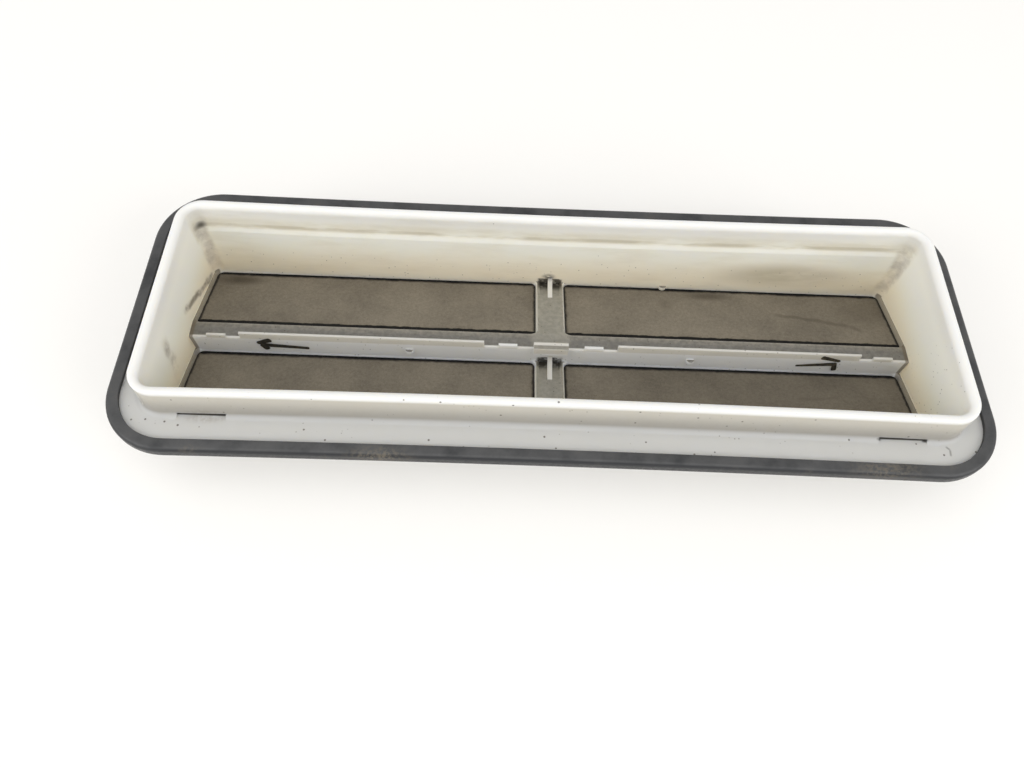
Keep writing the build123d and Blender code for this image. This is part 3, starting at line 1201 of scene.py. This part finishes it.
@dataclass
class EdgeSeal:
    """The rubber profile pressed over the flange's edge, in millimetres."""

    finish: Finish = SealRubber()
    length: float = 265.9
    width: float = 94.9
    corner_radius: float = 18.5
    corner_segments: int = 22
    waist: float = 1.0
    web: float = 2.05
    lip_reach: float = 1.8
    top: float = 1.35
    bottom: float = -3.25
    groove_top: float = 0.05
    groove_bottom: float = -2.05
    groove_depth: float = 1.85
    outer_round: float = 1.4
    outer_segments: int = 6
    side_cuts: int = 29
    near: float = 0.02
    smooth_angle: float = 40.0

    def build(self) -> list[bpy.types.Object]:
        """Sweeps the profile round the flange and dresses the seal.

        Returns:
            The seal alone.
        """
        path = self.outline()
        profile = self.profile()
        path.data.bevel_mode = "OBJECT"
        path.data.bevel_object = profile
        path.data.twist_mode = "Z_UP"
        self.convert(path, "MESH")
        bpy.data.objects.remove(profile, do_unlink=True)
        seal = Shaper.holding(path).close(self.smooth_angle)
        self.finish.dress(seal)
        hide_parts("flange_seal")
        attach(seal, Body.FRAME.value)
        return [seal]

    def convert(self, piece: bpy.types.Object, target: str) -> None:
        """Turns a piece into a curve or a mesh.

        Args:
            piece: The piece.
            target: CURVE or MESH.
        """
        bpy.ops.object.select_all(action="DESELECT")
        piece.select_set(True)
        bpy.context.view_layer.objects.active = piece
        bpy.ops.object.convert(target=target)

    def outline(self) -> bpy.types.Object:
        """Models the flange's outline with bowed sides.

        Returns:
            The outline as a curve.
        """
        shaper = Shaper("edge_seal", self.length, self.width)
        shaper.round_corners(self.corner_radius, self.corner_segments, lambda point: True)
        shaper.pick(Part.FACE, lambda point: True)
        bpy.ops.mesh.delete(type="ONLY_FACE")
        bpy.ops.object.mode_set(mode="OBJECT")
        shaper.pick(Part.EDGE, lambda point: abs(point.x) < self.near)
        bpy.ops.mesh.subdivide(number_cuts=self.side_cuts)
        bpy.ops.object.mode_set(mode="OBJECT")
        columns = sorted({round(abs(vertex.co.x) / MM, 3) for vertex in shaper.piece.data.vertices})
        for column in columns:
            bow = self.waist * (1.0 - (2.0 * column / self.length) ** 2)
            shaper.pick(Part.VERTEX, lambda point: abs(abs(point.x) - column) < DOUBLES)
            bpy.ops.transform.resize(value=(1.0, 1.0 - 2.0 * bow / self.width, 1.0), center_override=ORIGIN)
            bpy.ops.object.mode_set(mode="OBJECT")
        self.convert(shaper.piece, "CURVE")
        return shaper.piece

    def profile(self) -> bpy.types.Object:
        """Models the U section, with outwards along +X.

        Returns:
            The section as a curve.
        """
        reach = self.web + self.lip_reach
        tall = self.top - self.bottom
        middle = ((self.web - self.lip_reach) / 2, (self.top + self.bottom) / 2, 0.0)
        shaper = Shaper("edge_seal_profile", reach, tall, middle)
        shaper.round_corners(self.outer_round, self.outer_segments, lambda point: point.x > 0.0)
        shaper.pick(Part.FACE, lambda point: True)
        bpy.ops.mesh.delete(type="ONLY_FACE")
        bpy.ops.object.mode_set(mode="OBJECT")
        inner = -self.lip_reach
        shaper.pick(Part.EDGE, lambda point: abs(point.x - inner) < self.near)
        bpy.ops.mesh.subdivide(number_cuts=2)
        bpy.ops.object.mode_set(mode="OBJECT")
        third = tall / 3
        for level, groove in ((self.top - third, self.groove_top), (self.bottom + third, self.groove_bottom)):
            shaper.pick(Part.VERTEX, lambda point: abs(point.x - inner) + abs(point.y - level) < self.near)
            shaper.shift((0.0, groove - level, 0.0))
            bpy.ops.object.mode_set(mode="OBJECT")
        groove_middle = (self.groove_top + self.groove_bottom) / 2

        def at_mouth(point: Vector) -> bool:
            """Says whether an edge closes the groove's mouth."""
            return abs(point.x - inner) + abs(point.y - groove_middle) < self.near

        shaper.pick(Part.EDGE, at_mouth)
        bpy.ops.mesh.extrude_region_move(TRANSFORM_OT_translate={"value": (self.groove_depth * MM, 0.0, 0.0)})
        bpy.ops.object.mode_set(mode="OBJECT")
        shaper.pick(Part.FACE, lambda point: True)
        bpy.ops.mesh.delete(type="ONLY_FACE")
        bpy.ops.object.mode_set(mode="OBJECT")
        shaper.pick(Part.EDGE, at_mouth)
        bpy.ops.mesh.delete(type="EDGE")
        bpy.ops.object.mode_set(mode="OBJECT")
        self.convert(shaper.piece, "CURVE")
        return shaper.piece


@dataclass
class RubberFlap:
    """One thin rubber flap with its bead, hung on hooks below a window, in millimetres.

    A tug lowers the sheet a little at one place: its share of the half length, its share of the reach, and
    the drop.
    """

    row: Row
    side: Side
    hinge_y: float
    tugs: tuple[tuple[float, float, float], ...]
    finish: Finish = DustyRubber()
    hinge_z: float = -16.241
    slope: float = SEAT_SLOPE
    inner_end: float = 3.5
    outer_end: float = 123.4
    reach: float = 32.0
    thickness: float = 1.3
    bead_radius: float = 1.3
    bead_setback: float = 4.0
    corner_radius: float = 4.0
    corner_segments: int = 6
    edge_round: float = 0.3
    edge_segments: int = 2
    cell: float = 3.0
    tug_reach: float = 18.0
    tie: float = 0.01
    bead_edge_round: float = 0.35
    bead_round_share: float = 0.999
    bead_segments: int = 6
    smooth_angle: float = 35.0

    def build(self) -> list[bpy.types.Object]:
        """Builds the flap and dresses it.

        Returns:
            The flap alone.
        """
        name = f"flap_{self.row.value}_{self.side.value}"
        length = self.outer_end - self.inner_end
        middle = (self.inner_end + self.outer_end) / 2
        if self.side is Side.LEFT:
            middle = -middle
        sheet = Shaper(f"{name}_sheet", length, self.reach, (middle, self.reach / 2, self.bead_radius))
        sheet.round_corners(self.corner_radius, self.corner_segments, lambda point: point.y > self.reach / 2)
        for step in range(1, int(length / self.cell)):
            sheet.cut((middle - length / 2 + step * self.cell, 0.0, 0.0), (1.0, 0.0, 0.0))
        for step in range(1, int(self.reach / self.cell)):
            sheet.cut((0.0, step * self.cell, 0.0), (0.0, 1.0, 0.0))
        sheet.modify("SOLIDIFY", thickness=self.thickness * MM, offset=-1.0)
        for along, out, drop in self.tugs:
            spot = Vector((middle + along * length / 2, out * self.reach, self.bead_radius))
            nearest = min((vertex.co / MM - spot).length for vertex in sheet.piece.data.vertices)
            sheet.pick(Part.VERTEX, lambda point: (point - spot).length <= nearest + self.tie)
            sheet.tug((0.0, 0.0, -drop), self.tug_reach)
            bpy.ops.object.mode_set(mode="OBJECT")
        self.soften(sheet, self.edge_round)
        sheet.absorb(self.bead(f"{name}_bead", length - 2 * self.bead_setback, middle))
        sheet.turn(-self.slope, "X")
        sheet.pick_all()
        sheet.shift((0.0, self.hinge_y, self.hinge_z))
        piece = sheet.close(self.smooth_angle)
        self.finish.dress(piece)
        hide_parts(name)
        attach(piece, name)
        return [piece]

    def soften(self, shaper: Shaper, radius: float) -> None:
        """Rounds a piece's sharp edges."""
        limits = {"limit_method": "ANGLE", "angle_limit": SHARP_ANGLE}
        shaper.modify("BEVEL", width=radius * MM, segments=self.edge_segments, **limits)

    def bead(self, name: str, length: float, middle: float) -> Shaper:
        """Models the round bead along the hinge line.

        Args:
            name: The bead's name while it is a piece of its own.
            length: The bead's length.
            middle: The x of its middle.

        Returns:
            The bead's shaper.
        """
        side = self.bead_radius * 2
        shaper = Shaper(name, side, side)
        radius = self.bead_radius * self.bead_round_share
        shaper.round_corners(radius, self.bead_segments, lambda point: True)
        shaper.pick(Part.FACE, lambda point: True)
        bpy.ops.mesh.extrude_region_move(TRANSFORM_OT_translate={"value": (0.0, 0.0, length * MM)})
        bpy.ops.object.mode_set(mode="OBJECT")
        self.soften(shaper, self.bead_edge_round)
        shaper.turn(90.0, "Y")
        shaper.pick_all()
        shaper.shift((middle - length / 2, 0.0, 0.0))
        bpy.ops.mesh.normals_make_consistent(inside=False)
        bpy.ops.object.mode_set(mode="OBJECT")
        return shaper


@dataclass
class Studio:
    """Table, lamps, surroundings and camera, in metres apart from the sensor, which is in millimetres."""

    table_width: float = 4.0
    table_height: float = -0.028
    sky: Colour = srgb(250, 250, 250)
    sky_strength: float = 0.62
    backdrop: Colour = srgb(255, 255, 255)
    key_place: Point = (-0.1, -0.25, 1.2)
    lamp_aim: Point = ORIGIN
    key_width: float = 1.6
    key_depth: float = 0.9
    key_power: float = 5.5
    side_places: tuple[Point, Point] = ((-1.15, -0.75, 0.7), (1.15, -0.75, 0.7))
    side_size: float = 0.9
    side_power: float = 7.0
    camera_place: Point = (-0.01566, -0.13692, 0.20780)
    camera_turn: Point = (0.502999, -0.027464, 0.025992)
    focal_pixels: float = 769.0
    sensor_width: float = 36.0
    nearest_seen: float = 0.01

    def build(self) -> list[bpy.types.Object]:
        """Sets up everything round the object.

        Returns:
            What stands in the scene.
        """
        self.light_surroundings()
        key = self.lamp("key_lamp", self.key_place, self.key_width, self.key_depth, self.key_power)
        sides = [
            self.lamp(f"side_lamp_{side.value}", place, self.side_size, self.side_size, self.side_power)
            for side, place in zip(Side, self.side_places)
        ]
        return [self.table(), key, *sides, self.camera()]

    def light_surroundings(self) -> None:
        """Lights the object evenly from all round, with a white background."""
        world = bpy.data.worlds.new("soft_room")
        world.use_nodes = True
        nodes, links = world.node_tree.nodes, world.node_tree.links
        nodes.clear()
        out = nodes.new("ShaderNodeOutputWorld")
        room = nodes.new("ShaderNodeBackground")
        room.inputs["Color"].default_value = self.sky
        room.inputs["Strength"].default_value = self.sky_strength
        white = nodes.new("ShaderNodeBackground")
        white.inputs["Color"].default_value = self.backdrop
        choice = nodes.new("ShaderNodeMixShader")
        light_path = nodes.new("ShaderNodeLightPath")
        links.new(light_path.outputs["Is Camera Ray"], choice.inputs[0])
        links.new(room.outputs[0], choice.inputs[1])
        links.new(white.outputs[0], choice.inputs[2])
        links.new(choice.outputs[0], out.inputs["Surface"])
        bpy.context.scene.world = world

    def table(self) -> bpy.types.Object:
        """Lays the pale table that the vent lies on.

        Returns:
            The table.
        """
        bpy.ops.object.select_all(action="DESELECT")
        bpy.ops.mesh.primitive_plane_add(size=self.table_width, location=(0.0, 0.0, self.table_height))
        table = bpy.context.object
        table.name = "table"
        TableTop().dress(table)
        return table

    def lamp(self, name: str, place: Point, width: float, depth: float, power: float) -> bpy.types.Object:
        """Places one large soft lamp that shines on the vent.

        Args:
            name: The lamp's name.
            place: Where it stands, in metres.
            width: Its size across.
            depth: Its size the other way.
            power: Its power in watts.

        Returns:
            The lamp.
        """
        bpy.ops.object.light_add(type="AREA", location=place)
        lamp = bpy.context.object
        lamp.name = name
        lamp.data.energy = power
        lamp.data.shape = "RECTANGLE"
        lamp.data.size = width
        lamp.data.size_y = depth
        aim = Vector(self.lamp_aim) - Vector(place)
        lamp.rotation_euler = aim.to_track_quat("-Z", "Y").to_euler()
        return lamp

    def camera(self) -> bpy.types.Object:
        """Sets the camera at the photograph's angle.

        Returns:
            The camera.
        """
        bpy.ops.object.camera_add(location=self.camera_place, rotation=self.camera_turn)
        camera = bpy.context.object
        camera.name = "camera"
        camera.data.sensor_width = self.sensor_width
        camera.data.lens = self.focal_pixels * self.sensor_width / PICTURE_WIDTH
        camera.data.clip_start = self.nearest_seen
        bpy.context.scene.camera = camera
        return camera


ARROWS = (
    ArrowMark(
        "arrow_mark_left",
        (
            ((-97.8, -17.0), (-82.2, -18.2), 2.0, 1.2),
            ((-99.4, -16.1), (-94.4, -13.8), 1.6, 2.2),
            ((-98.2, -16.6), (-96.4, -19.8), 1.8, 2.2),
        ),
    ),
    ArrowMark(
        "arrow_mark_right",
        (
            ((96.8, -16.2), (84.5, -18.0), 1.9, 0.8),
            ((98.4, -14.2), (91.6, -12.2), 1.1, 2.0),
            ((97.0, -15.2), (98.4, -20.2), 1.4, 1.8),
        ),
        MarkGrime(cover=0.8),
    ),
)
FLAPS = (
    RubberFlap(Row.REAR, Side.LEFT, REAR_HINGE, ((-0.55, 1.0, 0.25), (0.1, 0.9, 0.15), (0.6, 1.0, 0.2))),
    RubberFlap(Row.REAR, Side.RIGHT, REAR_HINGE, ((-0.3, 1.0, 0.2), (0.45, 0.95, 0.3), (0.8, 0.6, 0.12))),
    RubberFlap(Row.FRONT, Side.LEFT, FRONT_HINGE, ((-0.7, 1.0, 0.2), (0.0, 1.0, 0.25), (0.5, 0.7, 0.12))),
    RubberFlap(Row.FRONT, Side.RIGHT, FRONT_HINGE, ((-0.5, 0.95, 0.25), (0.2, 0.7, 0.12), (0.65, 1.0, 0.25))),
)


def main() -> None:
    """Builds the vent and its studio in order."""
    logging.basicConfig(level=logging.INFO, format="%(message)s")
    bpy.context.scene.view_settings.view_transform = "Standard"
    for group in (GrilleFrame(), *ARROWS, EdgeSeal(), *FLAPS, Studio()):
        for piece in group.build():
            LOG.info("%s: %s", type(group).__name__, piece.name)


if __name__ == "__main__":
    main()
